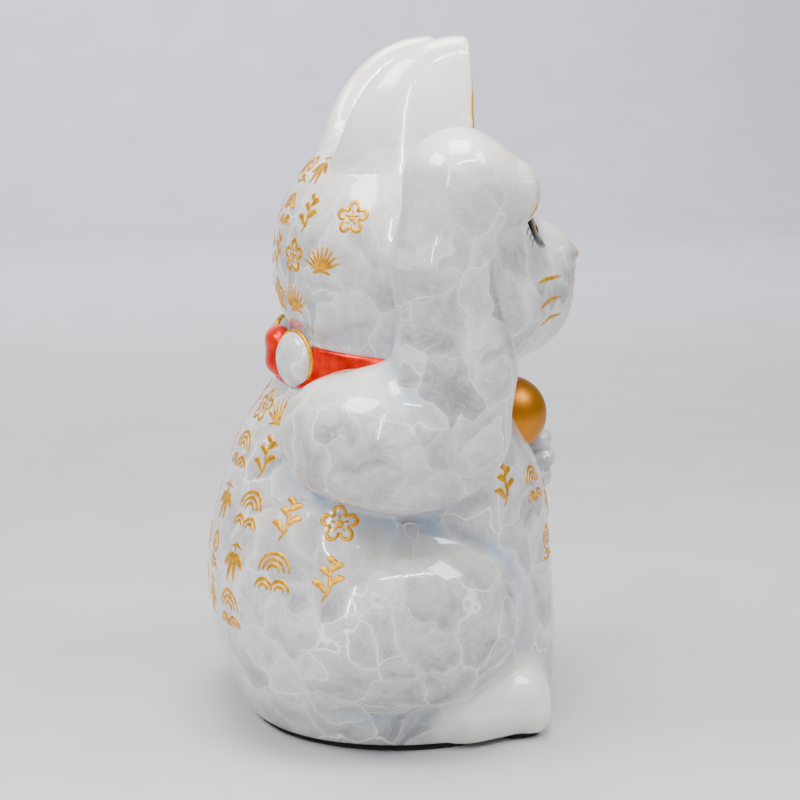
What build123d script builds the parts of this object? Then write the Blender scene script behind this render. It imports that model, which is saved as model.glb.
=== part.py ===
from build123d import *
import os

# A beckoning cat in slip-cast porcelain: hollow castings and pressed pieces, luted together.
# Millimetres. +Z is up, the cat faces -Y and its right side is -X. The origin is the middle
# of the foot, on the plane that the cat stands on.

# ---- Driving dimensions ------------------------------------------------------------------

body_height = 112.0            # foot to the flat top of the neck
body_half_width = 46.0
body_front = 51.5              # depth in front of the origin at the fullest level
body_back = 59.5
body_wall = 4.5
base_thickness = 7.0
felt_thickness = 1.4           # black felt under the flat, unglazed foot
felt_inset = 1.5               # how far the felt keeps inside the lower edge
vent_diameter = 9.0            # hole in the underside
vent_back = 20.0
neck_bore = 40.0               # opening between the body and the head

haunch_width = 26.0            # half sizes of the swelling of each thigh
haunch_depth = 38.0
haunch_height = 29.0
haunch_spread = 36.5
haunch_back = 8.0
haunch_level = 40.0
rump_width = 36.0              # half sizes of the fullness of the back behind each thigh
rump_depth = 38.5
rump_height = 42.0
rump_spread = 17.0
rump_back = 20.0
rump_level = 44.0

head_half_width = 46.0
head_half_depth = 41.0
head_half_height = 43.5
head_wall = 4.0
head_above_neck = 31.0         # middle of the head over the neck
head_shift = -2.0
face_half_width = 26.0         # the cheeks and the jaw
face_half_depth = 24.5
face_half_height = 22.0
face_forward = 28.5            # in front of the middle of the head
face_drop = 10.5
muzzle_half_width = 12.0
muzzle_half_depth = 15.5
muzzle_half_height = 12.5
muzzle_forward = 38.5
muzzle_drop = 1.0

ear_half_width = 16.5
ear_half_depth = 36.5
ear_half_height = 50.0
ear_spread = 24.5
ear_front = -15.5              # the flat front of each ear
ear_set = 3.5                  # middle of an ear behind its flat front
ear_above_neck = 48.0
ear_base = 20.0                # lowest level of an ear over the middle of the head

# The raised arm: how far each point is behind the origin and above the neck, and how far the
# lower ones are tucked in from the line of the forearm.
shoulder_radius = 18.0
shoulder_back = 22.0
shoulder_rise = -12.0
shoulder_depth = 6.0           # middle of the shoulder inside the body
elbow_radius = 21.0
elbow_back = -2.5
elbow_rise = -14.0
elbow_tuck = 5.0
forearm_radius = 13.6
forearm_swell = 2.6            # the forearm is this much thicker at its lower end
forearm_back = -5.5
forearm_rise = 8.0
forearm_tuck = 2.0
wrist_back = -1.0
wrist_rise = 38.0
paw_radius = 14.5
palm_back = -8.0
palm_rise = 58.5
finger_radius = 10.8
finger_back = -19.0
finger_rise = 55.5
finger_tuck = 1.0
arm_wall = 5.0
arm_contact = 3.0              # how far the forearm is pressed into the side of the head
arm_vent = 5.0                 # hole between the hollow arm and the body
vent_slant = -0.4              # the hole runs this much forward for each millimetre inward

# The lowered arm: levels are against the paw's.
left_shoulder_radius = 15.0
left_shoulder_back = 8.0
left_shoulder_rise = 20.0
left_shoulder_depth = 5.0      # middle of the shoulder inside the body
left_elbow_radius = 14.0
left_elbow_back = -8.0
left_elbow_rise = -3.0
left_elbow_proud = 3.0         # middle of the elbow outside the body
left_wrist_radius = 10.5
left_wrist_side = 33.0
left_wrist_forward = 0.9       # share of the belly's depth
left_wrist_rise = -7.0
left_paw_radius = 8.7
paw_level = 77.5
paw_middle = 12.0              # how far to the left of the bell the paw rests
paw_proud = 0.5                # how far the middle of the paw is in front of the belly

foot_radius = 12.0
foot_spread = 31.0
foot_front = 41.0              # toes in front of the origin
foot_length = 14.0             # from heel to ball
foot_splay = 5.0               # heel further out than the ball
foot_print = 6.5               # radius of the felt under each foot
tail_radius = 6.5
tail_lift = 1.9                # middle of the tail over the table, in tail radii

collar_height = 12.0
collar_level = -1.0            # middle of the band over the top of the neck
collar_rise = 2.0              # how far the band stands out from the neck
collar_thickness = 8.0
collar_tilt = 5.0              # degrees, lower at the throat

knot_half_width = 8.5
knot_half_height = 7.5
knot_half_depth = 4.0
loop_half_width = 9.0
loop_half_height = 8.7
loop_half_depth = 4.4
loop_turn = 26.0               # degrees each loop turns to follow the neck
loop_reach = 16.0              # middle of a loop from the middle of the back
bow_above_neck = 4.0
bow_proud = 1.0                # middle of the bow outside the band's grip
bow_grip = 1.5                 # how far the bow is pressed into the band

bell_diameter = 24.0
bell_drop = 19.5               # middle of the bell below the neck
bell_seat = -0.5               # how far the bell's middle is in front of the chest
bell_slot = 1.6

cut_margin = 1.0               # how far a cut runs past the face it opens

# ---- Body form -----------------------------------------------------------------------------

# level, half width, front and back, each as a share of the body's own size
body_profile = [
    (0.00, 0.96, 0.88, 0.80),
    (0.05, 0.99, 0.96, 0.88),
    (0.17, 1.00, 0.98, 0.94),
    (0.36, 1.00, 0.96, 1.00),
    (0.56, 0.98, 0.91, 0.98),
    (0.73, 0.96, 0.82, 0.90),
    (0.86, 0.92, 0.64, 0.79),
    (1.00, 0.83, 0.56, 0.61),
]


def girth(level):
    """Half width, front and back of the body at a height, read from its profile."""
    share = level / body_height
    for lower, upper in zip(body_profile, body_profile[1:]):
        if share <= upper[0]:
            break
    blend = (share - lower[0]) / (upper[0] - lower[0])
    sizes = (body_half_width, body_front, body_back)
    return [size * (a + (b - a) * blend) for size, a, b in zip(sizes, lower[1:], upper[1:])]


def oval(plane, half_width, front, back):
    """A section across the cat whose front and back halves have their own depths."""
    with BuildSketch(plane) as section:
        with BuildLine():
            EllipticalCenterArc((0, 0), half_width, back, start_angle=0, arc_size=180)
            EllipticalCenterArc((0, 0), half_width, front, start_angle=180, arc_size=180)
        make_face()
    return section.sketch


def ellipsoid(centre, half_sizes):
    """A solid ellipsoid, made apart from whatever part is being built."""
    ball = scale(Sphere(1, mode=Mode.PRIVATE), by=tuple(half_sizes), mode=Mode.PRIVATE)
    return Pos(*centre) * ball


def limb(points, radii):
    """A rounded limb: a ball at each point and a tapering length between them."""
    with BuildPart() as form:
        for point, radius in zip(points, radii):
            with Locations(point):
                Sphere(radius)
        for start, end, near, far in zip(points, points[1:], radii, radii[1:]):
            along = Vector(*end) - Vector(*start)
            with BuildSketch(Plane(start, z_dir=along)):
                Circle(near)
            with BuildSketch(Plane(end, z_dir=along)):
                Circle(far)
            loft()
    return form.part


def fit_to(*others):
    """Cuts the part being built back to the outside of its neighbours, one at a time."""
    for other in others:
        add(other, mode=Mode.SUBTRACT)


haunch = (haunch_width, haunch_depth, haunch_height)
rump = (rump_width, rump_depth, rump_height)
swellings = [((side * haunch_spread, haunch_back, haunch_level), haunch) for side in (-1, 1)]
swellings += [((side * rump_spread, rump_back, rump_level), rump) for side in (-1, 1)]

with BuildPart() as body_form:
    loft([oval(Plane.XY.offset(share * body_height), wide * body_half_width, front * body_front,
               back * body_back)
          for share, wide, front, back in body_profile])
    add([ellipsoid(centre, half_sizes) for centre, half_sizes in swellings])
    split(bisect_by=Plane.XY.offset(felt_thickness), keep=Keep.TOP)

# The cavity follows the outside at the thickness of the wall, from the base to the neck,
# through evenly spaced sections.
cavity_bottom = felt_thickness + base_thickness
cavity_top = body_height - body_wall
cavity_sections = 7
cavity_step = (cavity_top - cavity_bottom) / (cavity_sections - 1)

with BuildPart() as body_cavity:
    loft([oval(Plane.XY.offset(level), *[size - body_wall for size in girth(level)])
          for level in [cavity_bottom + cavity_step * i for i in range(cavity_sections)]])
    add([ellipsoid(centre, [size - body_wall for size in half_sizes])
         for centre, half_sizes in swellings])
    split(bisect_by=Plane.XY.offset(cavity_bottom), keep=Keep.TOP)

# ---- Head form -----------------------------------------------------------------------------

head_level = body_height + head_above_neck
skull_centre = (0, head_shift, head_level)
skull = (head_half_width, head_half_depth, head_half_height)
face_centre = (0, head_shift - face_forward, head_level - face_drop)
face = (face_half_width, face_half_depth, face_half_height)
muzzle_centre = (0, head_shift - muzzle_forward, head_level - muzzle_drop)
muzzle = (muzzle_half_width, muzzle_half_depth, muzzle_half_height)

with BuildPart() as head_form:
    add(ellipsoid(skull_centre, skull))
    add(ellipsoid(face_centre, face))
    add(ellipsoid(muzzle_centre, muzzle))

with BuildPart() as head_cavity:
    add(ellipsoid(skull_centre, [size - head_wall for size in skull]))
    add(ellipsoid(face_centre, [size - head_wall for size in face]))

# ---- Arms ----------------------------------------------------------------------------------

# The forearm stands against the side of the head, so it moves out with a wider head.
forearm_side = -(head_half_width + forearm_radius - arm_contact)
shoulder_level = body_height + shoulder_rise
shoulder = (-girth(shoulder_level)[0] + shoulder_depth, shoulder_back, shoulder_level)
elbow = (forearm_side + elbow_tuck, elbow_back, body_height + elbow_rise)
forearm = (forearm_side + forearm_tuck, forearm_back, body_height + forearm_rise)
wrist = (forearm_side, wrist_back, body_height + wrist_rise)
palm = (forearm_side, palm_back, body_height + palm_rise)
fingers = (forearm_side + finger_tuck, finger_back, body_height + finger_rise)
arm_points = [shoulder, elbow, forearm, wrist, palm, fingers]
arm_radii = [shoulder_radius, elbow_radius, forearm_radius + forearm_swell, forearm_radius,
             paw_radius, finger_radius]

arm_form = limb(arm_points, arm_radii)
arm_cavity = limb(arm_points, [radius - arm_wall for radius in arm_radii])

left_paw = (paw_middle, -girth(paw_level)[1] - paw_proud, paw_level)
left_wrist = (left_wrist_side, -girth(paw_level)[1] * left_wrist_forward,
              paw_level + left_wrist_rise)
left_elbow = (girth(paw_level)[0] + left_elbow_proud, left_elbow_back,
              paw_level + left_elbow_rise)
left_shoulder_level = paw_level + left_shoulder_rise
left_shoulder = (girth(left_shoulder_level)[0] - left_shoulder_depth, left_shoulder_back,
                 left_shoulder_level)
left_arm_form = limb([left_shoulder, left_elbow, left_wrist, left_paw],
                     [left_shoulder_radius, left_elbow_radius, left_wrist_radius, left_paw_radius])

# ---- Body and head castings --------------------------------------------------------------------

with BuildPart() as body_shell:
    add(body_form)
    add(body_cavity, mode=Mode.SUBTRACT)
    with BuildSketch(Plane.XY.offset(body_height)):
        Circle(neck_bore / 2)
    extrude(amount=-2 * body_wall, mode=Mode.SUBTRACT)
    with BuildSketch(Plane((0, vent_back, 0))):
        Circle(vent_diameter / 2)
    extrude(amount=cavity_bottom + cut_margin, mode=Mode.SUBTRACT)
    with BuildSketch(Plane(shoulder, z_dir=(1, vent_slant, 0))):
        Circle(arm_vent / 2)
    extrude(amount=shoulder_radius + body_wall, mode=Mode.SUBTRACT)
body_shell.part.label = "body_shell"

with BuildPart() as head_shell:
    add(head_form)
    add(head_cavity, mode=Mode.SUBTRACT)
    add(body_form, mode=Mode.SUBTRACT)
head_shell.part.label = "head_shell"

# ---- Collar, bow and bell ------------------------------------------------------------------------

neck = girth(body_height)
collar_middle = Plane((0, 0, body_height + collar_level)).rotated((collar_tilt, 0, 0))
collar_base = collar_middle.offset(-collar_height / 2)

with BuildPart() as collar:
    add(oval(collar_base, *[size + collar_rise for size in neck]))
    add(oval(collar_base, *[size + collar_rise - collar_thickness for size in neck]),
        mode=Mode.SUBTRACT)
    extrude(amount=collar_height)
    fit_to(body_form, head_form)
collar.part.label = "collar"

bow_level = body_height + bow_above_neck
bow_seat = [size + collar_rise - bow_grip for size in neck]
loop_back = bow_seat[2] * (1 - (loop_reach / bow_seat[0]) ** 2) ** 0.5
knot_centre = (0, bow_seat[2] + bow_proud, bow_level)
loop = (loop_half_width, loop_half_depth, loop_half_height)

# The bow is pressed onto the outside of the band, and no part of it reaches behind the band.
with BuildPart() as bow_back:
    add(oval(collar_middle.offset(-2 * collar_height), *bow_seat))
    extrude(amount=4 * collar_height)

with BuildPart() as bow_knot:
    add(ellipsoid(knot_centre, (knot_half_width, knot_half_depth, knot_half_height)))
    fit_to(bow_back, collar, body_form, head_form)
bow_knot.part.label = "bow_knot"

bow_loops = []
for side, name in ((-1, "bow_loop_right"), (1, "bow_loop_left")):
    with BuildPart() as bow_loop:
        add(Pos(side * loop_reach, loop_back + bow_proud, bow_level)
            * Rot(Z=-side * loop_turn) * ellipsoid((0, 0, 0), loop))
        fit_to(bow_back, bow_knot, collar, body_form, head_form)
    bow_loop.part.label = name
    bow_loops.append(bow_loop)

bell_level = body_height - bell_drop
bell_centre = (0, -girth(bell_level)[1] - bell_seat, bell_level)

with BuildPart() as bell:
    with Locations(bell_centre):
        Sphere(bell_diameter / 2)
        Box(bell_diameter, bell_slot, bell_diameter, align=(Align.CENTER, Align.CENTER, Align.MAX),
            mode=Mode.SUBTRACT)
    fit_to(body_form, head_form, collar)
bell.part.label = "bell"

# ---- Ears, arms, feet and tail --------------------------------------------------------------------

ears = []
for side, name in ((-1, "right_ear"), (1, "left_ear")):
    with BuildPart() as ear:
        add(ellipsoid((side * ear_spread, ear_front + ear_set, body_height + ear_above_neck),
                      (ear_half_width, ear_half_depth, ear_half_height)))
        split(bisect_by=Plane.XZ.offset(-ear_front), keep=Keep.BOTTOM)
        split(bisect_by=Plane.XY.offset(head_level + ear_base), keep=Keep.TOP)
        add(head_form, mode=Mode.SUBTRACT)
    ear.part.label = name
    ears.append(ear)

with BuildPart() as raised_arm:
    add(arm_form)
    fit_to(arm_cavity, body_form, head_form, collar, bow_loops[0], ears[0])
raised_arm.part.label = "raised_arm"

with BuildPart() as lowered_arm:
    add(left_arm_form)
    fit_to(body_form, head_form, collar, bell)
lowered_arm.part.label = "lowered_arm"

foot_ball = (-foot_front + foot_radius, foot_radius - felt_thickness)

feet = []
for side, name in ((-1, "right_foot"), (1, "left_foot")):
    with BuildPart() as foot_piece:
        heel = (side * (foot_spread + foot_splay), foot_ball[0] + foot_length, foot_ball[1])
        add(limb([heel, (side * foot_spread, *foot_ball)], [foot_radius, foot_radius]))
        split(bisect_by=Plane.XY.offset(felt_thickness), keep=Keep.TOP)
        add(body_form, mode=Mode.SUBTRACT)
    foot_piece.part.label = name
    feet.append(foot_piece)

with BuildPart() as felt_pad:
    with BuildSketch():
        add(oval(Plane.XY, *[size - felt_inset for size in girth(0)]))
        with Locations((-foot_spread, foot_ball[0]), (foot_spread, foot_ball[0])):
            Circle(foot_print)
    extrude(amount=felt_thickness)
felt_pad.part.label = "felt_pad"

# The tail lies along the foot on the left: share of the half width, share of the back and
# share of its own radius.
tail_route = [(0.72, 0.68, 0.85), (0.95, 0.52, 1.0), (1.10, 0.26, 1.0), (1.18, 0.0, 0.92)]
tail_level = tail_lift * tail_radius
tail_rim = girth(tail_level)

with BuildPart() as tail:
    add(limb([(tail_rim[0] * wide, tail_rim[2] * back, tail_level) for wide, back, _ in tail_route],
             [tail_radius * share for _, _, share in tail_route]))
    fit_to(body_form, feet[1])
tail.part.label = "tail"

os.makedirs("parts", exist_ok=True)
pieces = [body_shell, head_shell, *ears, raised_arm, lowered_arm, *feet, felt_pad, tail, collar,
          bow_knot, *bow_loops, bell]
for piece in pieces:
    export_step(piece.part, f"parts/{piece.part.label}.step")
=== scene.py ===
import math

import bpy
import numpy as np
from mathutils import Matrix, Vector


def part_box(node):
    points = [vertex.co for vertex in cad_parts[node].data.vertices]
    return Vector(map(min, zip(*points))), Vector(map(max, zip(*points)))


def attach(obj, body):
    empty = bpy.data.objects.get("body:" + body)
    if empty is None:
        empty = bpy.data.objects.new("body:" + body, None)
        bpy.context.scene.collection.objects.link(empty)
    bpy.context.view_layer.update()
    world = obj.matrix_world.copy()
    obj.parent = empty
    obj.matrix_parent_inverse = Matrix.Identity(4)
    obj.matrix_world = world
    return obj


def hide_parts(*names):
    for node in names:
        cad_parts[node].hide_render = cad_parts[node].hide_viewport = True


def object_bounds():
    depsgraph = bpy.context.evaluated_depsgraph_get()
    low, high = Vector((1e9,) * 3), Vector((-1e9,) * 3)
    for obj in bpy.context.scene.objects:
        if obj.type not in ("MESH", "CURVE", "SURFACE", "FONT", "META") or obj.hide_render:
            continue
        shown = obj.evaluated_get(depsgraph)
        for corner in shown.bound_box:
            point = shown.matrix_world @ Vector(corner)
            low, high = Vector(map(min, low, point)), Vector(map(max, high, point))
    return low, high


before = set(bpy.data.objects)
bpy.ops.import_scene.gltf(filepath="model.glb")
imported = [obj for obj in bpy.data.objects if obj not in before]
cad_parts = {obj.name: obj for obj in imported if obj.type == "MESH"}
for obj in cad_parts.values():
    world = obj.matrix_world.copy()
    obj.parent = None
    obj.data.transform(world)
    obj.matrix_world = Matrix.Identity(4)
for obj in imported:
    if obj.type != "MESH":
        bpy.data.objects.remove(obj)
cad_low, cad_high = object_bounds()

# A beckoning cat in porcelain under a crystalline glaze, with red and gold enamels.
# Shapes are sculpted as distance fields in millimetres and skinned with quads; every piece is
# in the frame of the CAD model: +Z up, the cat faces -Y, its right side is -X.

MM = 0.001
SKIN = 1.2                     # quad size on the castings
FINE_SKIN = 0.55               # quad size on small pieces
LAP = 0.5                      # how far neighbouring castings run into each other under the glaze
LAP_SINK = 0.25                # how deep a casting dips under its neighbour there


def span(node):
    """Lowest corner and highest corner of a CAD node, in millimetres."""
    low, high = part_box(node)
    return np.array(low) / MM, np.array(high) / MM


_, body_high = span("body_shell")
head_low, head_high = span("head_shell")
ear_low, ear_high = span("right_ear")
arm_low, _ = span("raised_arm")
left_arm_low, left_arm_high = span("lowered_arm")
bell_low, bell_high = span("bell")
knot_low, knot_high = span("bow_knot")
loop_low, loop_high = span("bow_loop_right")
collar_low, collar_high = span("collar")

neck = body_high[2]
crown = head_high[2]
head_side = head_high[0]
body_side = body_high[0]

# ---- Distance fields -------------------------------------------------------------------------


def egg(centre, radii, turn=0.0):
    """Ellipsoid, which may be turned about a vertical axis by some degrees."""
    centre, radii = np.array(centre, float), np.array(radii, float)
    c, s = math.cos(math.radians(turn)), math.sin(math.radians(turn))
    spin = np.array([(c, -s, 0), (s, c, 0), (0, 0, 1)])

    def field(p):
        q = (p - centre) @ spin / radii
        near = np.maximum(np.linalg.norm(q, axis=1), 1e-6)
        return near * (near - 1) / np.maximum(np.linalg.norm(q / radii, axis=1), 1e-9)
    return field


def bone(start, end, near, far):
    """Tapering limb between two points."""
    start, along = np.array(start, float), np.subtract(end, start).astype(float)

    def field(p):
        share = np.clip((p - start) @ along / (along @ along), 0, 1)
        gap = p - start - share[:, None] * along
        return np.linalg.norm(gap, axis=1) - near - (far - near) * share
    return field


def half_space(point, normal):
    """Everything behind a plane whose normal points out."""
    point, normal = np.array(point, float), np.array(normal, float)
    normal /= np.linalg.norm(normal)
    return lambda p: (p - point) @ normal


def eased(knots, values, at):
    """Smooth curve through a few knots."""
    slopes = np.gradient(values, knots)
    i = np.clip(np.searchsorted(knots, at) - 1, 0, len(knots) - 2)
    width = knots[i + 1] - knots[i]
    t = np.clip((at - knots[i]) / width, 0, 1)
    rise = values[i + 1] - values[i]
    return (values[i] + width * slopes[i] * t * (1 - t) ** 2
            + rise * t * t * (3 - 2 * t) - width * slopes[i + 1] * t * t * (1 - t))


def stack(rows, turn_over=14.0):
    """Trunk given by a few levels: height, half width, depth in front, depth behind."""
    level, wide, front, back = (np.array(column, float) for column in zip(*rows))

    def field(p):
        x, y, z = p.T
        behind = 0.5 + 0.5 * np.tanh(y / turn_over)
        deep = eased(level, front, z) * (1 - behind) + eased(level, back, z) * behind
        radius = np.maximum(np.hypot(x, y), 1e-6)
        share = np.hypot(x / eased(level, wide, z), y / deep)
        return radius * (1 - 1 / share)
    return field


def melted(a, b, k):
    """Union of two distances with a fillet of about k."""
    ease = np.maximum(k - np.abs(a - b), 0) / k
    return np.minimum(a, b) - ease ** 3 * k / 6


def melt(k, *fields):
    """Union of fields, with fillets of about k."""
    def field(p):
        total = fields[0](p)
        for other in fields[1:]:
            total = melted(total, other(p), k)
        return total
    return field


def keep(k, *fields):
    """Overlap of fields, with edges rounded by about k."""
    def field(p):
        total = fields[0](p)
        for other in fields[1:]:
            total = -melted(-total, -other(p), k)
        return total
    return field


def outside(field):
    """Everything that a field leaves out."""
    return lambda p: -field(p)


def slope(field, p, step=0.25):
    """Gradient of a field at some points."""
    shifts = np.eye(3) * step
    return np.stack([field(p + s) - field(p - s) for s in shifts], axis=1) / (2 * step)


def settle(field, p, rounds=4, reach=1.0):
    """Moves points onto the surface of a field."""
    for _ in range(rounds):
        gradient = slope(field, p)
        steepness = np.maximum((gradient ** 2).sum(axis=1), 0.05)
        move = gradient * (field(p) / steepness)[:, None]
        length = np.maximum(np.linalg.norm(move, axis=1, keepdims=True), 1e-9)
        p = p - move * np.minimum(1, reach / length)
    return p


# ---- The castings ----------------------------------------------------------------------------

foot_line = 1.4                # the glaze ends this far above the table

# height, half width, front, back, each in millimetres
trunk_rows = [
    (0, 43.6, 44.8, 46.5),
    (6, 45.2, 48.4, 50.2),
    (14, 46.0, 49.6, 54.0),
    (27, 46.0, 49.6, 58.0),
    (42, 46.0, 48.6, 59.6),
    (56, 45.5, 47.4, 59.2),
    (70, 45.0, 45.8, 56.9),
    (82, 44.2, 42.0, 53.2),
    (92, 43.2, 36.0, 49.2),
    (101, 42.0, 32.0, 43.2),
    (110, 40.0, 30.0, 37.6),
    (122, 38.6, 28.0, 35.0),
]
trunk = keep(2.6, stack(trunk_rows), half_space((0, 0, foot_line), (0, 0, -1)),
             half_space((0, 0, neck + 9), (0, 0, 1)))


def mirrored(shape):
    """The shape on the right and on the left."""
    return shape(-1), shape(1)


haunch_radii = (26, 38, 29)
haunch_x = body_side - haunch_radii[0]
haunches = mirrored(lambda side: egg((side * haunch_x, 8, 40), haunch_radii))
rumps = mirrored(lambda side: egg((side * 17, 20, 44), (36, 38.5, 42)))
base_plane = half_space((0, 0, foot_line), (0, 0, -1))
body = keep(2.6, melt(6, melt(12, trunk, *rumps), *haunches), base_plane)

skull_middle = crown - 43.5
skull = egg((0, -2, skull_middle), (head_side, 41, 43.3))
jaw = egg((0, -30.5, skull_middle - 10.5), (23.5, 24, 21.5))
snout = egg((0, -40, skull_middle - 0.5), (12, 15.3, 12.5))
cheeks = mirrored(lambda side: egg((side * 19, -19.5, skull_middle - 14), (21, 21.5, 18)))
nose = egg((0, head_low[1] + 2.5, skull_middle + 1.2), (3.4, 2.4, 2.6))
mouth_level = skull_middle - 7
head = melt(3, melt(7, melt(9, skull, jaw, *cheeks), snout), nose)

ear_x = -(ear_low[0] + ear_high[0]) / 2
ear_tip = ear_high[2]
ear_front = ear_low[1]


def ear(side):
    """A pointed leaf with a flat front, hollowed to a shallow dish."""
    cone = egg((side * (ear_x - 2), ear_front + 3.5, ear_tip - 50), (15.5, 36.5, 51.5),
               turn=side * 10)
    leaf = keep(6, cone,
                half_space((side * (ear_x + 1.5), 0, ear_tip + 10), (side * 1.0, 0, 0.28)),
                half_space((side * (ear_x + 1.5), 0, ear_tip + 10), (side * -1.0, 0, 0.42)))
    faced = keep(1.6, leaf, half_space((0, ear_front, 0), (0, -1, 0.0)))
    dish = egg((side * (ear_x - 1), ear_front - 2.5, ear_tip - 27), (8.0, 5.0, 18))
    return keep(1.6, faced, outside(dish), half_space((0, 0, skull_middle + 14), (0, 0, -1)))


right_ear, left_ear = mirrored(ear)

arm_x = arm_low[0] + 14.6
shoulder = (-36, 22.5, neck - 15)
upper_arm = (-42, 22, neck - 15.5)
elbow = (arm_x + 5.5, -4.2, neck - 11)
elbow_middle = (arm_x + 8.0, 8, neck - 14.5)
forearm = (arm_x + 2, -6.0, neck + 7)
wrist = (arm_x, -1.5, neck + 36)
palm = (arm_x, -6.5, neck + 58)
fingers = (arm_x + 1.5, -19, neck + 55.5)
raised_arm = melt(9, egg(shoulder, (18.5, 19, 16)), egg(elbow_middle, (20, 27, 21.5)),
                  bone(upper_arm, elbow_middle, 18, 20), bone(elbow, forearm, 18.6, 16.2),
                  bone(forearm, wrist, 16.2, 13.4), bone(wrist, palm, 13.4, 14.6),
                  bone(palm, fingers, 14.6, 10.6))

paw = (14, left_arm_low[1] + 9.2, left_arm_low[2] + 17.5)
left_wrist = (34, -39.5, 71)
left_elbow = (left_arm_high[0] - 13.5, -8, 74.5)
left_shoulder = (37, 8, 97.5)
left_toes = [egg((paw[0] - 6, paw[1] + forward, paw[2] + up), (6.5, 4.4, 3.8))
             for forward, up in ((-3.2, 6.2), (-4.7, 6.2 - 6.3), (-3.4, 6.2 - 12.6))]
lowered_arm = melt(3, melt(9, bone(left_shoulder, left_elbow, 16, 14),
                           bone(left_elbow, left_wrist, 14, 10.5),
                           bone(left_wrist, paw, 10.5, 7.8)), *left_toes)


def foot(side):
    """A foot that peeps out from under the haunch, with three toes."""
    heel = (side * 36, -15, 10.6)
    ball = (side * 31, -29.3, 10.8)
    toes = [egg((side * (37.5 - 6.3 * i), (-34.5, -36.0, -35.0)[i], 7.6), (4.2, 5.6, 6.6))
            for i in range(3)]
    return keep(1.8, melt(4, bone(heel, ball, 12, 12), *toes), base_plane)


right_foot, left_foot = mirrored(foot)
tail_route = [(33.5, 37, 12), (43.8, 28, 12.3), (50.6, 14, 12.3), (54, 0, 12.3)]
tail = keep(2.2, melt(4, *[bone(a, b, 6.3, 6.3) for a, b in zip(tail_route, tail_route[1:])]),
            base_plane)

# Each casting, with the fillet that the slip and the glaze leave where it joins the rest.
castings = {
    "body_shell": (body, 0),
    "head_shell": (head, 4),
    "right_ear": (right_ear, 8),
    "left_ear": (left_ear, 8),
    "raised_arm": (raised_arm, 6),
    "lowered_arm": (lowered_arm, 5),
    "right_foot": (right_foot, 4),
    "left_foot": (left_foot, 4),
    "tail": (tail, 5),
}


def distances(p):
    """Distance to each casting, one row for each."""
    return np.stack([field(p) for field, _ in castings.values()])


def joined(apart):
    """The whole glazed surface from the distances to each casting."""
    total = apart[0]
    for distance, (_, fillet) in zip(apart[1:], list(castings.values())[1:]):
        total = melted(total, distance, fillet)
    return total


def figure(p):
    """Distance to the whole glazed surface."""
    return joined(distances(p))


def share_of(index):
    """The part of the figure that belongs to one casting."""
    def field(p):
        apart = distances(p)
        beyond = apart[index] - np.delete(apart, index, axis=0).min(axis=0)
        return np.maximum(joined(apart) + LAP_SINK * np.clip(beyond, 0, 1), beyond / 2 - LAP)
    return field


# ---- Meshes ----------------------------------------------------------------------------------


def skin(field, low, high, step):
    """Closed quad mesh of the surface where a field is zero, between two corners."""
    low = np.array(low) - 2 * step
    counts = [int((h - l) / step) + 4 for l, h in zip(low, high)]
    ticks = [l + step * np.arange(n) for l, n in zip(low, counts)]
    grid = np.stack(np.meshgrid(*ticks, indexing="ij"), axis=-1)
    inside = field(grid.reshape(-1, 3)).reshape(counts) < 0
    corners = sum(inside[i:counts[0] - 1 + i, j:counts[1] - 1 + j, k:counts[2] - 1 + k].astype(int)
                  for i in (0, 1) for j in (0, 1) for k in (0, 1))
    mixed = (corners > 0) & (corners < 8)
    number = np.full(mixed.shape, -1)
    number[mixed] = np.arange(mixed.sum())
    points = low + (np.argwhere(mixed) + 0.5) * step
    faces = []
    for axis in range(3):
        turned = np.moveaxis(inside, axis, 0)
        first, second = turned[:-1, 1:-1, 1:-1], turned[1:, 1:-1, 1:-1]
        cells = np.moveaxis(number, axis, 0)
        i, j, k = np.nonzero(first != second)
        quad = np.stack([cells[i, j, k], cells[i, j + 1, k], cells[i, j + 1, k + 1],
                         cells[i, j, k + 1]], axis=1)
        backward = first[i, j, k] if axis == 1 else ~first[i, j, k]
        quad[backward] = quad[backward, ::-1]
        faces.append(quad)
    faces = np.concatenate(faces)
    points = settle(field, points, reach=0.8 * step)
    for _ in range(2):
        points = settle(field, evened(points, faces), rounds=2, reach=0.8 * step)
    return points, faces


def evened(points, faces):
    """Moves each point halfway to the middle of its neighbours."""
    total, count = np.zeros_like(points), np.zeros(len(points))
    for turn in (1, 3):
        np.add.at(total, faces, points[np.roll(faces, turn, axis=1)])
        np.add.at(count, faces, 1)
    return 0.5 * points + 0.5 * total / count[:, None]


def make_piece(name, points, faces, material, replaces=None):
    """A Blender object from points in millimetres, riding on the figurine's one body."""
    mesh = bpy.data.meshes.new(name)
    mesh.from_pydata((np.asarray(points) * MM).tolist(), [], [list(map(int, f)) for f in faces])
    mesh.shade_smooth()
    piece = bpy.data.objects.new(name, mesh)
    bpy.context.scene.collection.objects.link(piece)
    mesh.materials.append(material)
    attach(piece, "root")
    if replaces:
        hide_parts(replaces)
    return piece


def note(piece, name, values):
    """Stores one number for each point, for the glaze to read."""
    attribute = piece.data.attributes.new(name, "FLOAT", "POINT")
    attribute.data.foreach_set("value", np.asarray(values, dtype=np.float32))


# ---- Materials -------------------------------------------------------------------------------


def linear(code):
    """Linear colour from an sRGB hex value."""
    parts = [int(code[i:i + 2], 16) / 255 for i in (1, 3, 5)]
    return [v / 12.92 if v <= 0.04045 else ((v + 0.055) / 1.055) ** 2.4 for v in parts] + [1.0]


def add(tree, kind, settings=None, feeds=None):
    """One shader node with its settings and the sockets that feed it."""
    node = tree.nodes.new(kind)
    for key, value in (settings or {}).items():
        if isinstance(key, str) and hasattr(node, key):
            setattr(node, key, value)
        else:
            node.inputs[key].default_value = value
    for key, source in (feeds or {}).items():
        tree.links.new(source, node.inputs[key])
    return node


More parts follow.
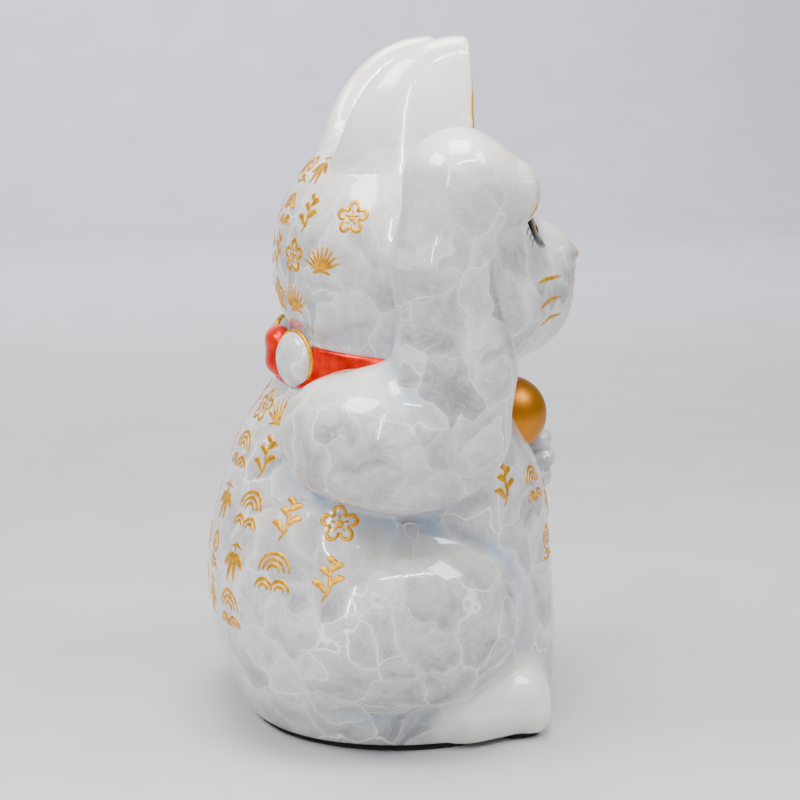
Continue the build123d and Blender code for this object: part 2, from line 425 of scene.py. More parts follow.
def new_material(name):
    material = bpy.data.materials.new(name)
    material.use_nodes = True
    material.node_tree.nodes.clear()
    return material, material.node_tree


def per_mm(size):
    """Texture scale for a pattern whose features are some millimetres across."""
    return 1 / (size * MM)


crystal_size = 15.5            # plates that the glaze crystals grow to
crystal_line = 0.34            # width of the pale line where two plates meet


def crystal_glaze():
    """Porcelain, slip cast, under a zinc glaze cooled slowly so that crystals grow into plates.
    The plates meet in narrow pale lines, each has fine rays from its seed, the glaze is blue where
    it has run together and cream where little of it stayed, and the surface is glassy. Painted
    light:
    the cream is also laid on up-facing surfaces and round the feet, and each plate line carries
    painted relief shade, darker on one side and lighter on the other."""
    material, tree = new_material("crystal_glazed_porcelain")
    place = add(tree, "ShaderNodeTexCoord").outputs["Object"]
    sway = add(tree, "ShaderNodeTexNoise", {"Scale": per_mm(20), "Detail": 2.5}, {"Vector": place})
    bend = add(tree, "ShaderNodeVectorMath", {"operation": "MULTIPLY_ADD", 1: (0.024,) * 3},
               {0: sway.outputs["Color"], 2: place}).outputs[0]

    plates = add(tree, "ShaderNodeTexVoronoi", {"Scale": per_mm(crystal_size)}, {"Vector": bend})
    edges = add(tree, "ShaderNodeTexVoronoi",
                {"feature": "DISTANCE_TO_EDGE", "Scale": per_mm(crystal_size)}, {"Vector": bend})
    line = add(tree, "ShaderNodeMapRange",
               {"interpolation_type": "SMOOTHSTEP", "From Max": crystal_line / crystal_size * 1.2,
                "To Min": 1.0, "To Max": 0.0}, {"Value": edges.outputs["Distance"]}).outputs[0]
    halo = add(tree, "ShaderNodeMapRange",
               {"interpolation_type": "SMOOTHSTEP", "From Max": 0.2, "To Min": 1.0, "To Max": 0.0},
               {"Value": edges.outputs["Distance"]}).outputs[0]
    # Painted shade: the edge distance is read again 1.6 mm higher and the difference goes into the
    # tone, so each plate line is painted darker on one side and lighter on the other, like relief
    # lit from above.
    above = add(tree, "ShaderNodeVectorMath", {"operation": "ADD", 1: (0, 0, 0.0016)}, {0: bend})
    shifted = add(tree, "ShaderNodeTexVoronoi",
                  {"feature": "DISTANCE_TO_EDGE", "Scale": per_mm(crystal_size)},
                  {"Vector": above.outputs[0]}).outputs["Distance"]
    painted_relief_shade = add(tree, "ShaderNodeMath", {"operation": "SUBTRACT"},
                  {0: edges.outputs["Distance"], 1: shifted})

    # Rays: noise that depends only on the direction from the plate's seed.
    outward = add(tree, "ShaderNodeVectorMath", {"operation": "SUBTRACT"},
                  {0: bend, 1: plates.outputs["Position"]}).outputs[0]
    heading = add(tree, "ShaderNodeVectorMath", {"operation": "NORMALIZE"}, {0: outward}).outputs[0]
    heading = add(tree, "ShaderNodeVectorMath", {"operation": "MULTIPLY_ADD", 1: (30.0,) * 3},
                  {0: plates.outputs["Color"], 2: heading}).outputs[0]
    rays = add(tree, "ShaderNodeTexNoise", {"Scale": 5.5, "Detail": 4.0, "Roughness": 0.65},
               {"Vector": heading}).outputs["Fac"]
    cloud = add(tree, "ShaderNodeTexNoise", {"Scale": per_mm(7), "Detail": 4.0},
                {"Vector": place}).outputs["Fac"]
    plate_tone = add(tree, "ShaderNodeSeparateColor", {}, {0: plates.outputs["Color"]}).outputs[0]

    tone = add(tree, "ShaderNodeMath", {"operation": "MULTIPLY", 1: 0.35}, {0: cloud})
    for share, source in ((0.42, rays), (0.22, plate_tone), (0.1, halo), (0.8, painted_relief_shade.outputs[0])):
        tone = add(tree, "ShaderNodeMath", {"operation": "MULTIPLY_ADD", 1: share},
                   {0: source, 2: tone.outputs[0]})
    ramp = add(tree, "ShaderNodeValToRGB", {}, {0: tone.outputs[0]})
    ramp.color_ramp.elements[0].position = 0.3
    ramp.color_ramp.elements[0].color = linear("#8D8E92")
    ramp.color_ramp.elements[1].position = 0.7
    ramp.color_ramp.elements[1].color = linear("#D6D7D8")
    patches = add(tree, "ShaderNodeTexNoise", {"Scale": per_mm(30), "Detail": 1.0},
                  {"Vector": place})
    shown = add(tree, "ShaderNodeMapRange",
                {"From Min": 0.36, "From Max": 0.6, "To Min": 0.15, "To Max": 0.95},
                {"Value": patches.outputs["Fac"]}).outputs[0]
    lined = add(tree, "ShaderNodeMix", {"data_type": "RGBA", 7: linear("#F8F8F8")},
                {0: add(tree, "ShaderNodeMath", {"operation": "MULTIPLY"},
                        {0: line, 1: shown}).outputs[0], 6: ramp.outputs[0]})

    pool = add(tree, "ShaderNodeAttribute", {"attribute_name": "pool"}).outputs["Fac"]
    patchy = add(tree, "ShaderNodeMapRange", {"From Min": 0.38, "From Max": 0.66}, {"Value": cloud})
    pool = add(tree, "ShaderNodeMath", {"operation": "MULTIPLY", "use_clamp": True},
               {0: pool, 1: patchy.outputs[0]})
    pooled = add(tree, "ShaderNodeMix", {"data_type": "RGBA", 7: linear("#A4B8CE")},
                 {0: pool.outputs[0], 6: lined.outputs[2]})
    # Glaze and painted light: this mask turns the glaze cream on the high parts where the glaze ran
    # down, and also round the feet and on up-facing surfaces as painted light.
    thin_glaze_and_painted_light = add(tree, "ShaderNodeAttribute", {"attribute_name": "thin_glaze_and_painted_light"}).outputs["Fac"]
    thin_glaze_and_painted_light = add(tree, "ShaderNodeMath", {"operation": "MULTIPLY", 1: 1.15, "use_clamp": True},
               {0: thin_glaze_and_painted_light})
    glazed = add(tree, "ShaderNodeMix", {"data_type": "RGBA", 7: linear("#F1EDE4")},
                 {0: thin_glaze_and_painted_light.outputs[0], 6: pooled.outputs[2]})

    swell = add(tree, "ShaderNodeTexNoise", {"Scale": per_mm(16), "Detail": 1.0}, {"Vector": place})
    relief = add(tree, "ShaderNodeMath", {"operation": "MULTIPLY_ADD", 1: 0.05},
                 {0: line, 2: swell.outputs["Fac"]})
    bump = add(tree, "ShaderNodeBump", {"Strength": 0.35, "Distance": 0.0008},
               {"Height": relief.outputs[0]})
    gloss = add(tree, "ShaderNodeMapRange", {"To Min": 0.08, "To Max": 0.24}, {"Value": rays})
    shader = add(tree, "ShaderNodeBsdfPrincipled",
                 {"IOR": 1.5, "Coat Weight": 0.8, "Coat Roughness": 0.03, "Coat IOR": 1.5},
                 {"Base Color": glazed.outputs[2], "Roughness": gloss.outputs[0],
                  "Normal": bump.outputs[0], "Coat Normal": bump.outputs[0]})
    add(tree, "ShaderNodeOutputMaterial", {}, {0: shader.outputs[0]})
    return material


def enamel(name, deep, bright, patch, settings):
    """An enamel painted over the glaze by brush and fired: glossy, and uneven in depth as the
    brush left it. patch is the size in millimetres of the lighter and deeper patches."""
    material, tree = new_material(name)
    place = add(tree, "ShaderNodeTexCoord").outputs["Object"]
    depth = add(tree, "ShaderNodeTexNoise", {"Scale": per_mm(patch), "Detail": 3.0},
                {"Vector": place}).outputs["Fac"]
    ramp = add(tree, "ShaderNodeValToRGB", {}, {0: depth})
    ramp.color_ramp.elements[0].position = 0.36
    ramp.color_ramp.elements[0].color = linear(deep)
    ramp.color_ramp.elements[1].position = 0.62
    ramp.color_ramp.elements[1].color = linear(bright)
    bump = add(tree, "ShaderNodeBump", {"Strength": 0.25, "Distance": 0.0002}, {"Height": depth})
    shader = add(tree, "ShaderNodeBsdfPrincipled", settings,
                 {"Base Color": ramp.outputs[0], "Normal": bump.outputs[0]})
    add(tree, "ShaderNodeOutputMaterial", {}, {0: shader.outputs[0]})
    return material


def black_base_sheet():
    """Black matt sheet with a fine grain of noise and no shine; it draws the dark line along the
    foot of the base.
    """
    material, tree = new_material("black_matt_base_sheet")
    place = add(tree, "ShaderNodeTexCoord").outputs["Object"]
    nap = add(tree, "ShaderNodeTexNoise", {"Scale": per_mm(0.6), "Detail": 5.0}, {"Vector": place})
    ramp = add(tree, "ShaderNodeValToRGB", {}, {0: nap.outputs["Fac"]})
    ramp.color_ramp.elements[0].color = linear("#060607")
    ramp.color_ramp.elements[1].color = linear("#1B1B1D")
    bump = add(tree, "ShaderNodeBump", {"Strength": 0.6, "Distance": 0.0003},
               {"Height": nap.outputs["Fac"]})
    shader = add(tree, "ShaderNodeBsdfPrincipled", {"Roughness": 0.95, "Sheen Weight": 0.15},
                 {"Base Color": ramp.outputs[0], "Normal": bump.outputs[0]})
    add(tree, "ShaderNodeOutputMaterial", {}, {0: shader.outputs[0]})
    return material


glaze = crystal_glaze()
red = enamel("red_overglaze_enamel", "#B40400", "#FF2A00", 7,
             {"Roughness": 0.3, "Metallic": 0.45, "Specular IOR Level": 0.25})
gold = enamel("gold_overglaze_enamel", "#BE8000", "#F6B406", 1.6,
              {"Roughness": 0.42, "Metallic": 0.6})
bell_gold = enamel("burnished_gold_enamel", "#B46E08", "#C98310", 12,
                   {"Roughness": 0.42, "Metallic": 0.7})
black = enamel("black_overglaze_enamel", "#050505", "#141416", 3,
               {"Roughness": 0.12, "Coat Weight": 0.8, "Coat Roughness": 0.03})
base_sheet_material = black_base_sheet()

# ---- Skins of the castings -------------------------------------------------------------------


def glazed_piece(name, node, field, low, high):
    """A casting under the crystal glaze, which knows where the glaze pools and where little of it
    stays, and carries painted light on its up-facing surfaces and round the feet.
    """
    points, faces = skin(field, low, high, SKIN)
    piece = make_piece(name, points, faces, glaze, node)
    reach = 2.2                # millimetres over which the bend of the surface is felt
    nearby = sum(figure(points + s) + figure(points - s) for s in np.eye(3) * reach)
    bending = (nearby - 6 * figure(points)) / reach ** 2
    rise = slope(figure, points)
    up = rise[:, 2] / np.linalg.norm(rise, axis=1)
    # Cream on the high parts is glaze that ran down; cream near the feet and on up-facing surfaces
    # is painted light, for the light that falls there.
    high_up = np.clip((points[:, 2] - 0.72 * crown) / (0.34 * crown), 0, 1)
    painted_foot_light = np.clip(1 - np.minimum(right_foot(points), left_foot(points)) / 6, 0, 1)
    painted_top_light = np.clip((up - 0.3) / 0.6, 0, 1)
    note(piece, "pool", np.clip((0.012 - bending) / 0.10, 0, 1))
    note(piece, "thin_glaze_and_painted_light", np.clip(0.7 * painted_foot_light + 0.9 * high_up ** 1.5 + 0.55 * painted_top_light, 0, 1))
    return piece


box_low, box_high = np.array(cad_low) / MM, np.array(cad_high) / MM
search = 4.0                   # how far outside its CAD node a casting may reach
for index, node in enumerate(castings):
    low, high = span(node)
    low, high = np.maximum(low - search, box_low - 1), np.minimum(high + search, box_high + 1)
    if node == "body_shell":
        high[2] = neck + 12        # the neck stands up inside the head
    glazed_piece(node + "_glazed", node, share_of(index), low, high)

# ---- Collar, bow, bell and black base sheet --------------------------------------------------


def small_piece(name, node, field, low, high, material, step=FINE_SKIN):
    """A piece that is not a casting of the figure: band, bow, bell or pad."""
    points, faces = skin(field, np.array(low), np.array(high), step)
    return make_piece(name, points, faces, material, node)


collar_lean = math.tan(math.radians(5))
collar_level = np.array((0, 0, neck - 1.0))
collar_up = np.array((0, -collar_lean, 1)) / math.hypot(1, collar_lean)
band_rows = [(neck - 12, 43.4, 34.2, 43.0), (neck - 4, 41.8, 32.8, 39.6), (neck, 41.0, 32.2, 38.4),
             (neck + 10, 40.0, 31.4, 37.0)]
band_half = 6.6
band = keep(1.6, stack(band_rows), half_space(collar_level + collar_up * band_half, collar_up),
            half_space(collar_level - collar_up * band_half, -collar_up),
            outside(stack([(z, w - 5, f - 5, b - 5) for z, w, f, b in band_rows])))
small_piece("collar_red_band", "collar", band, collar_low - 2, collar_high + 2, red,
            step=0.8)

bow_level = (knot_low[2] + knot_high[2]) / 2
knot_y = knot_high[1] - 4.3
knot_body = melt(2.5, egg((0, knot_y, bow_level), (7.6, 4.2, 7.4)),
                 egg((0, knot_y + 0.6, bow_level + 3.6), (6.6, 3.8, 3.7)),
                 egg((0, knot_y + 0.6, bow_level - 3.6), (6.6, 3.8, 3.7)))
small_piece("bow_knot_red", "bow_knot", knot_body, knot_low - 6, knot_high + 1, red)

loop_x = -(loop_low[0] + loop_high[0]) / 2
loop_y = loop_high[1] - 5.6
loop_turn = 26


def loop_frame(side):
    """Middle of a loop and the way it faces."""
    turn = math.radians(loop_turn)
    return (np.array((side * loop_x, loop_y, bow_level - 0.5)),
            np.array((side * math.sin(turn), math.cos(turn), 0)))


def bow_loop(side):
    """A plump white loop pressed against the collar, turned to follow the neck."""
    centre, _ = loop_frame(side)
    return egg(centre, (8.6, 4.6, 8.6), turn=-side * loop_turn)


def bow_rim(side):
    """The gold line round the foot of a loop."""
    centre, outward = loop_frame(side)
    shell = egg(centre, (9.3, 5.3, 9.3), turn=-side * loop_turn)
    return keep(0.6, shell, half_space(centre + outward * 0.9, outward),
                half_space(centre - outward * 0.5, -outward))


for side, name in ((-1, "right"), (1, "left")):
    centre, _ = loop_frame(side)
    reach = np.array((12, 12, 12))
    small_piece(f"bow_loop_{name}_white", f"bow_loop_{name}", bow_loop(side), centre - reach,
                centre + reach, glaze)
    small_piece(f"bow_loop_{name}_gold_rim", None, bow_rim(side), centre - reach, centre + reach,
                gold, step=0.45)

bell_radius = (bell_high[0] - bell_low[0]) / 2
bell_centre = np.array((0, bell_low[1] + bell_radius, bell_low[2] + bell_radius - 1))
mouth = egg(bell_centre + (0, -6.5, -8.2), (1.0, 5.5, 5.5))
mouth_end = egg(bell_centre + (0, -9.6, -4.2), (1.9, 2.4, 1.9))
ring = egg(bell_centre + (0, 4.5, bell_radius - 1.2), (3.2, 3.2, 3.0))
bell_body = keep(0.6, melt(1.6, egg(bell_centre, (bell_radius,) * 3), ring), outside(mouth),
                 outside(mouth_end))
small_piece("bell_gold", "bell", bell_body, bell_low - 3, bell_high + 5, bell_gold)

# A black matt sheet under the base draws the dark line that runs along the foot.
base_sheet_top = span("felt_pad")[1][2]
pad_rows = [(z, 42.6, 43.8, 46.0) for z in (-5, 0, 5)]
toe_lobes = mirrored(lambda side: egg((side * 31, -30, 0), (7.6, 8.6, 40)))
pad = keep(0.4, melt(3, stack(pad_rows), *toe_lobes),
           half_space((0, 0, base_sheet_top + 0.1), (0, 0, 1)), half_space((0, 0, 0.02), (0, 0, -1)))
small_piece("base_sheet_black", "felt_pad", pad, (-52, -52, -1), (52, 52, 3), base_sheet_material,
            step=0.7)

# ---- Painting --------------------------------------------------------------------------------


def facing(points, towards):
    """Walks points along a direction until they meet the glaze."""
    towards = np.asarray(towards, float)
    for _ in range(60):
        points = points + towards * (0.8 * figure(points))[:, None]
    return points


def from_front(points):
    """Surface points under positions given as side and height."""
    x, z = np.array(points, float).T
    starts = np.stack([x, np.full_like(x, box_low[1] - 5), z], axis=1)
    return facing(starts, np.tile((0, 1, 0), (len(x), 1)))


def around(angle, height):
    """Surface point at an angle from the middle of the back, towards the right side."""
    outward = np.array((-math.sin(math.radians(angle)), math.cos(math.radians(angle)), 0))
    start = outward * (box_high[1] + 5) + (0, 0, height)
    return facing(start[None], -outward[None])[0]


def ribbon(points, normals, widths, rise):
    """A brush stroke as a closed low ridge: rings of points across it, drawn to a close."""
    ahead = np.gradient(points, axis=0)
    ahead /= np.maximum(np.linalg.norm(ahead, axis=1, keepdims=True), 1e-9)
    across = np.cross(normals, ahead)
    section = [(-0.5, -0.6), (-0.46, 0.45), (-0.22, 1.0), (0.22, 1.0), (0.46, 0.45), (0.5, -0.6)]
    rings = np.stack([points + across * (widths * u)[:, None] + normals * rise * v
                      for u, v in section], axis=1)
    count, size = len(points), len(section)
    faces = [[i * size + j, i * size + (j + 1) % size, (i + 1) * size + (j + 1) % size,
              (i + 1) * size + j] for i in range(count - 1) for j in range(size)]
    faces.append(list(range(size - 1, -1, -1)))
    faces.append([(count - 1) * size + j for j in range(size)])
    return rings.reshape(-1, 3), faces


def paint(name, strokes, material, rise=0.14):
    """Lays strokes, each a list of points near the glaze and a list of widths, as one piece."""
    sizes = [len(points) for points, _ in strokes]
    points = settle(figure, np.concatenate([points for points, _ in strokes]))
    normals = slope(figure, points)
    normals /= np.linalg.norm(normals, axis=1, keepdims=True)
    vertices, faces, start, first = [], [], 0, 0
    for size, (_, widths) in zip(sizes, strokes):
        part, part_faces = ribbon(points[start:start + size], normals[start:start + size],
                                  np.array(widths), rise)
        faces += [[first + corner for corner in face] for face in part_faces]
        vertices.append(part)
        start, first = start + size, first + len(part)
    return make_piece(name, np.concatenate(vertices), faces, material)


def brushed(length, widest, lead=0.35):
    """Widths of a stroke that presses on and lifts off."""
    share = np.linspace(0, 1, length)
    return 1.3 * widest * (lead + (1 - lead) * np.sin(np.pi * share) ** 0.7)


# Motifs are flat: side and height in millimetres about their own middle, with widths.


def curve(xs, ys, widest, count=14, lead=0.35):
    """A flat brush stroke through a few points, with its widths."""
    knots = np.linspace(0, 1, len(xs))
    at = np.linspace(0, 1, count)
    line = np.stack([eased(knots, np.array(values, float), at) for values in (xs, ys)], 1)
    return line, brushed(count, widest, lead)


def blossom(petals=5, size=5.2):
    """A plum blossom: a lobed outline, a small ring and stamens."""
    strokes = []
    for i in range(petals):
        middle = math.pi / 2 + i * 2 * math.pi / petals
        share = np.linspace(0, 1, 13)
        angle = middle + (share - 0.5) * 1.12
        radius = size * (0.48 + 0.52 * np.sin(np.pi * share) ** 0.75)
        strokes.append((np.stack([radius * np.cos(angle), radius * np.sin(angle)], 1),
                        brushed(13, 1.1, 0.6)))
        stamen = [(r * math.cos(middle), r * math.sin(middle))
                  for r in np.linspace(0.26, 0.52, 4) * size]
        strokes.append((np.array(stamen), brushed(4, 0.7, 0.5)))
    angle = np.linspace(0, 2 * math.pi, 13)
    strokes.append((np.stack([0.8 * np.cos(angle), 0.8 * np.sin(angle)], 1), np.full(13, 1.0)))
    return strokes


def leaf_spray():
    """A bent stem with pointed leaves on alternate sides."""
    strokes = [curve((-1.2, 0.6, 0.2, 1.4), (-6.4, -2.5, 2.0, 6.2), 0.95, 16)]
    for i, (x, y) in enumerate(((-0.4, -3.8), (0.5, -1.6), (0.4, 0.8), (0.6, 2.8), (1.2, 4.6))):
        side = (-1, 1)[i % 2]
        reach = 4.6 - 0.45 * i
        strokes.append(curve((x, x + side * reach * 0.5, x + side * reach),
                             (y, y + reach * 0.55, y + reach * 0.62), 1.7, 10, 0.15))
    return strokes


def waves():
    """Three nested arcs over two smaller ones."""
    strokes = []
    angle = np.linspace(0.06, math.pi - 0.06, 14)
    nests = ((0, 0.4, (5.4, 3.7, 2.0)), (-2.9, -5.0, (3.1, 1.6)), (2.9, -5.0, (3.1, 1.6)))
    for middle, low, sizes in nests:
        for size in sizes:
            arc = np.stack([middle + size * np.cos(angle), low + size * np.sin(angle)], 1)
            strokes.append((arc, brushed(14, 1.0, 0.5)))
    return strokes


def scroll():
    """A curl of cloud with a tail."""
    turn = np.linspace(0.4, 3.6 * math.pi, 30)
    radius = 0.42 + 0.36 * turn
    strokes = [(np.stack([radius * np.cos(turn), 1.2 + radius * np.sin(turn)], 1),
                brushed(30, 1.15, 0.4))]
    strokes.append(curve((-5.4, -1.5, 2.2, 5.6), (-4.6, -5.8, -4.6, -5.6), 1.1))
    strokes.append(curve((-3.6, -0.5, 2.8), (-3.0, -3.8, -3.2), 0.8, 10))
    return strokes


def bamboo():
    """Four pointed leaves that hang from one joint."""
    strokes = [curve((0.2, -0.2, 0.3), (6.4, 4.2, 2.2), 0.9, 8)]
    for x, y in ((-5.2, -1.8), (-2.0, -5.8), (2.0, -5.6), (5.4, -1.2)):
        strokes.append(curve((0.1, x * 0.55, x), (2.4, y * 0.35 + 1.4, y), 2.0, 12, 0.12))
    strokes.append(curve((-3.4, 0.0, 3.2), (4.2, 4.9, 4.4), 0.75, 8))
    return strokes


def pine():
    """A fan of needles over a short twig."""
    strokes = [curve((-3.8, 0.0, 3.8), (-4.4, -3.4, -4.6), 1.1, 10)]
    for angle in np.linspace(22, 158, 9):
        c, s = math.cos(math.radians(angle)), math.sin(math.radians(angle))
        heights = [-3.6 + length * s for length in (1.0, 4.4, 8.6)]
        strokes.append(curve((1.0 * c, 4.6 * c, 8.4 * c), heights, 0.8, 8, 0.25))
    return strokes


motifs = [blossom, leaf_spray, waves, bamboo, scroll, pine]


def on_surface(anchor, strokes, scale=1.0):
    """Puts a flat motif on the glaze at a point, upright."""
    out = slope(figure, anchor[None])[0]
    out /= np.linalg.norm(out)
    up = np.array((0, 0, 1.0)) - out[2] * out
    up /= np.linalg.norm(up)
    right = np.cross(up, out)
    return [(anchor + scale * (line[:, :1] * right + line[:, 1:] * up), widths)
            for line, widths in strokes]


def marks(name, places, first, scale):
    """A cluster of gilded motifs, one at each place, in turn."""
    strokes = []
    for i, anchor in enumerate(places):
        strokes += on_surface(anchor, motifs[(first + i) % len(motifs)](), scale)
    return paint(name, strokes, gold)


back_columns = (60, 43, 26, 9, -9, -26, -43)
back_rows = ((1.13, back_columns), (0.9, back_columns), (0.67, back_columns[2:]),
             (1.37, back_columns[2:6]), (1.58, back_columns[2:6]))
back_places = [around(angle, 0.34 * crown * level)
               for level, columns in back_rows for angle in columns]
marks("back_gilded_motifs", back_places, 0, 1.02)

head_rows = ((29, (28, 9, -9)), (16.5, (60, 34, 11, -11, -34)),
             (4, (47, 28, 9, -9, -28, -47)), (-9, (26, 8, -9, -26)))
head_places = [around(angle, skull_middle + level) for level, angles in head_rows
               for angle in angles]
marks("head_gilded_motifs", head_places, 3, 0.9)

belly_places = list(from_front([(-36, 79), (-24, 76), (-11, 69), (-19, 57), (-1, 54), (15, 57),
                                (26, 69)]))
marks("belly_gilded_motifs", belly_places, 1, 0.98)

# ---- Face and claws --------------------------------------------------------------------------


def enamel_patch(name, outline, material, lift, rings=5):
    """A filled shape of enamel, domed, on the front of the head. outline is a closed list of
    sides and heights."""
    outline = np.array(outline, float)
    middle = outline.mean(axis=0)
    count = len(outline)
    flat = np.concatenate([[middle]] + [middle + (outline - middle) * r / rings
                                        for r in range(1, rings + 1)])
    surface = settle(figure, from_front(flat))
    normals = slope(figure, surface)
    normals /= np.linalg.norm(normals, axis=1, keepdims=True)
    share = np.concatenate([[0.0]] + [np.full(count, r / rings) for r in range(1, rings + 1)])
    top = surface + normals * (lift * (1 - share ** 4) + 0.02)[:, None]
    rim = surface[-count:] - normals[-count:] * 0.25
    base = surface[:1] - normals[:1] * 0.6
    faces = [[0, 1 + i, 1 + (i + 1) % count] for i in range(count)]
    for r in range(1, rings):
        inner, outer = 1 + (r - 1) * count, 1 + r * count
        faces += [[inner + i, outer + i, outer + (i + 1) % count, inner + (i + 1) % count]
                  for i in range(count)]
    last, under = 1 + (rings - 1) * count, len(flat)
    faces += [[last + i, under + i, under + (i + 1) % count, last + (i + 1) % count]
              for i in range(count)]
    faces += [[under + (i + 1) % count, under + i, under + count] for i in range(count)]
    return make_piece(name, np.concatenate([top, rim, base]), faces, material)


def almond(middle, long_half, wide_half, lean, point=1.5, count=36):
    """Outline pointed at both ends, leaning by some degrees."""
    turn = np.linspace(0, 2 * math.pi, count, endpoint=False)
    x = long_half * np.cos(turn)
    y = wide_half * np.sign(np.sin(turn)) * np.abs(np.sin(turn)) ** point
    c, s = math.cos(math.radians(lean)), math.sin(math.radians(lean))
    return np.stack([middle[0] + c * x - s * y, middle[1] + s * x + c * y], 1)


eye_level = skull_middle + 10.6
eye_x = 19.5
eye_lean = 48
for side, name in ((-1, "right"), (1, "left")):
    eye, iris = (side * eye_x, eye_level), (side * (eye_x - 1), eye_level)
    lean = side * eye_lean
    enamel_patch(f"{name}_eye_black", almond(eye, 7.4, 4.6, lean), black, 0.35)
    enamel_patch(f"{name}_eye_gold_iris", almond(iris, 3.0, 2.6, lean, 1.0), gold,
                 0.5)
    enamel_patch(f"{name}_eye_pupil", almond(iris, 1.9, 1.8, lean, 1.0), black,
                 0.68)
enamel_patch("nose_gold", almond((0, skull_middle + 1.2), 3.0, 2.0, 0, 0.9), gold,
             0.25)


def front_stroke(xs, zs, widest, count=14, lead=0.2):
    """A stroke seen from the front, laid on the glaze."""
    line, widths = curve(xs, zs, widest, count, lead)
    return from_front(line), widths


def side_stroke(side, ys, zs, widest, count=14, lead=0.1):
    """A stroke seen from one side, laid on the glaze."""
    line, widths = curve(ys, zs, widest, count, lead)
    starts = np.stack([np.full(count, side * 80.0), line[:, 0], line[:, 1]], axis=1)
    return facing(starts, np.tile((-side, 0, 0), (count, 1))), widths


whiskers, lashes, lips = [], [], []
for side in (-1, 1):
    for level, droop in ((-4.0, 0.5), (-10.0, 1.6), (-15.6, 1.3)):
        z = skull_middle + level
        whiskers.append(side_stroke(side, (-36.5, -41.5, -47.0),
                                    (z - droop, z - 0.3 * droop, z), 1.0))
    for x, z in ((25.0, 1.2), (24.2, -0.7), (23.2, -2.5)):
        lashes.append(front_stroke([side * (x + out) for out in (0, 1.6, 2.8)],
                                   [eye_level + z - down for down in (0, 0.7, 1.9)], 0.5, 8))
    lips.append(front_stroke([side * x for x in (0, 2.4, 5.2, 7.4)],
                             [mouth_level + z for z in (1.5, -1.6, -1.0, 1.2)], 0.8, 16))
lips.append(front_stroke((0, 0), (skull_middle - 1.2, mouth_level + 1.6), 0.7, 6, 0.6))
paint("cheek_whiskers_gold", whiskers, gold, 0.12)
paint("brow_lines_black", lashes, black, 0.08)
paint("mouth_line_red", lips, red, 0.1)

ear_lines = []
for side in (-1, 1):
    sides = [side * (ear_x + dx) for dx in (-11, -8, -1.5, 2.5, 8.0, 11.2)]
    heights = [ear_tip - dz for dz in (29, 17, 6, 6, 16, 28)]
    ear_lines.append(front_stroke(sides, heights, 0.7, 40, 0.4))
paint("ear_rim_lines_gold", ear_lines, gold, 0.1)

claws = []
for i in range(3):
    x = fingers[0] - 5.5 + 5.0 * i
    claws.append(front_stroke((x, x), (fingers[2] - 2.0, fingers[2] - 7.0), 1.2, 8, 0.3))
claws.append(front_stroke([paw[0] - dx for dx in (11, 7.5, 3.5)], (paw[2] - 3.6,) * 3, 1.5, 10,
                          0.5))
paint("claws_gold", claws, gold, 0.14)

# ---- Floor, light and camera -----------------------------------------------------------------


def pale_floor():
    """Pale matt floor, very slightly mottled."""
    material, tree = new_material("pale_floor")
    place = add(tree, "ShaderNodeTexCoord").outputs["Object"]
    mottle = add(tree, "ShaderNodeTexNoise", {"Scale": per_mm(60), "Detail": 4.0},
                 {"Vector": place})
    ramp = add(tree, "ShaderNodeValToRGB", {}, {0: mottle.outputs["Fac"]})
    ramp.color_ramp.elements[0].color = linear("#B9B7BA")
    ramp.color_ramp.elements[1].color = linear("#C9C7CA")
    shader = add(tree, "ShaderNodeBsdfPrincipled", {"Roughness": 0.55},
                 {"Base Color": ramp.outputs[0]})
    add(tree, "ShaderNodeOutputMaterial", {}, {0: shader.outputs[0]})
    return material


height = cad_high[2]


def studio_sweep():
    """Floor that curves up into a backdrop behind the figurine, seen from its right side."""
    bend_start, bend, wall, half = 7 * height, 3 * height, 16 * height, 20 * height
    profile = [(-half, 0.0)]
    for share in np.linspace(0, math.pi / 2, 15):
        profile.append((bend_start + bend * math.sin(share), bend * (1 - math.cos(share))))
    profile.append((bend_start + bend, wall))
    points = [(x, side * half, z) for x, z in profile for side in (-1, 1)]
    faces = [(2 * i, 2 * i + 2, 2 * i + 3, 2 * i + 1) for i in range(len(profile) - 1)]
    mesh = bpy.data.meshes.new("studio_sweep")
    mesh.from_pydata(points, [], faces)
    mesh.shade_smooth()
    mesh.materials.append(pale_floor())
    sweep = bpy.data.objects.new("studio_sweep", mesh)
    bpy.context.scene.collection.objects.link(sweep)


studio_sweep()

world = bpy.data.worlds.new("studio")
bpy.context.scene.world = world
world.use_nodes = True
world.node_tree.nodes["Background"].inputs["Color"].default_value = linear("#D4D6DA")
world.node_tree.nodes["Background"].inputs["Strength"].default_value = 0.15


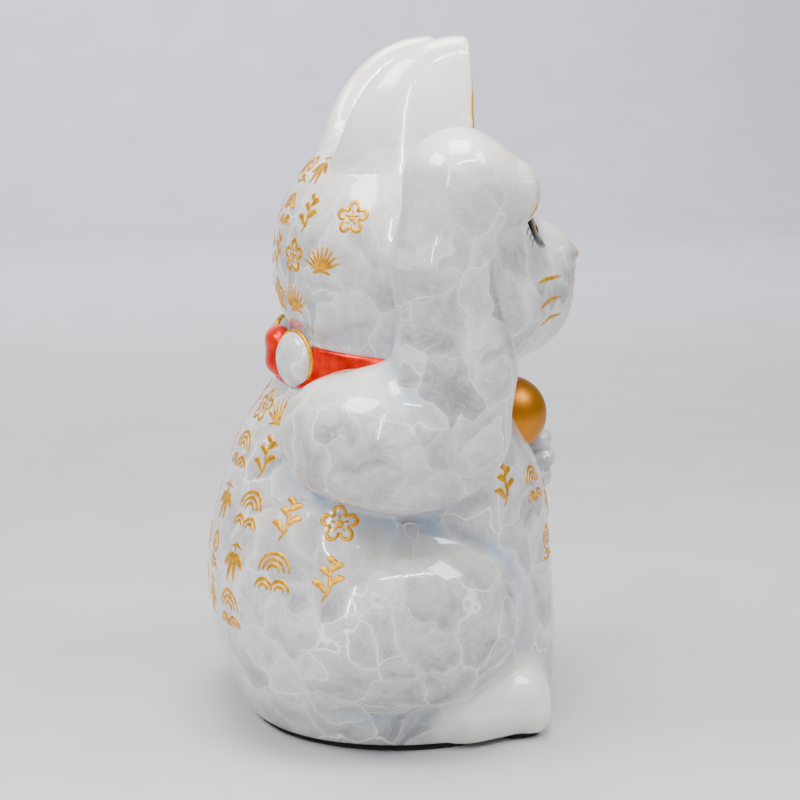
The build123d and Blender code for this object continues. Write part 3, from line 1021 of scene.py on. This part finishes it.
def aim(obj, target):
    direction = Vector(target) - obj.location
    obj.rotation_euler = direction.to_track_quat("-Z", "Y").to_euler()


def softbox(name, azimuth, elevation, distance, size, power, colour="#FFFFFF", target=(0, 0, 0.5)):
    """A rectangular soft light round the figurine; places and sizes are in its heights."""
    light = bpy.data.lights.new(name, "AREA")
    light.shape = "RECTANGLE"
    light.size, light.size_y = size[0] * height, size[1] * height
    light.energy = power
    light.color = linear(colour)[:3]
    obj = bpy.data.objects.new(name, light)
    bpy.context.scene.collection.objects.link(obj)
    a, e = math.radians(azimuth), math.radians(elevation)
    obj.location = Vector((math.sin(a) * math.cos(e), -math.cos(a) * math.cos(e), math.sin(e))) \
        * distance * height + Vector((0, 0, 0.5 * height))
    aim(obj, Vector(target) * height)


softbox("key_softbox", 195, 50, 5.0, (2.4, 1.6), 10.5, "#FFFCF7")
softbox("face_softbox", 330, 50, 5.5, (1.8, 2.2), 8.0)
softbox("side_softbox", 255, 40, 6.0, (2.4, 1.6), 1.0)
softbox("top_softbox", 260, 84, 4.5, (2.4, 2.4), 14.5)
softbox("backdrop_softbox", 90, 50, 6.0, (8.0, 2.0), 50.0, "#EFF3FF", (10, 0, 2.5))
softbox("long_strip", 285, 52, 4.0, (2.6, 0.06), 2.4)
softbox("tall_strip", 238, 24, 4.0, (0.06, 2.4), 2.0)

view_azimuth = math.radians(260)       # from the right side, a little behind
view_pitch = math.radians(10.8)
view_distance = 2.733 * height
view_level = 0.993 * height
view_angle = math.radians(24.15)
camera_data = bpy.data.cameras.new("camera")
camera = bpy.data.objects.new("camera", camera_data)
bpy.context.scene.collection.objects.link(camera)
camera_data.sensor_width = 36.0
camera_data.lens = camera_data.sensor_width / 2 / math.tan(view_angle / 2)
camera.location = (view_distance * math.sin(view_azimuth), -view_distance * math.cos(view_azimuth),
                   view_level)
ahead = Vector((-math.sin(view_azimuth) * math.cos(view_pitch),
                   math.cos(view_azimuth) * math.cos(view_pitch), -math.sin(view_pitch)))
camera.rotation_euler = ahead.to_track_quat("-Z", "Y").to_euler()
bpy.context.scene.camera = camera
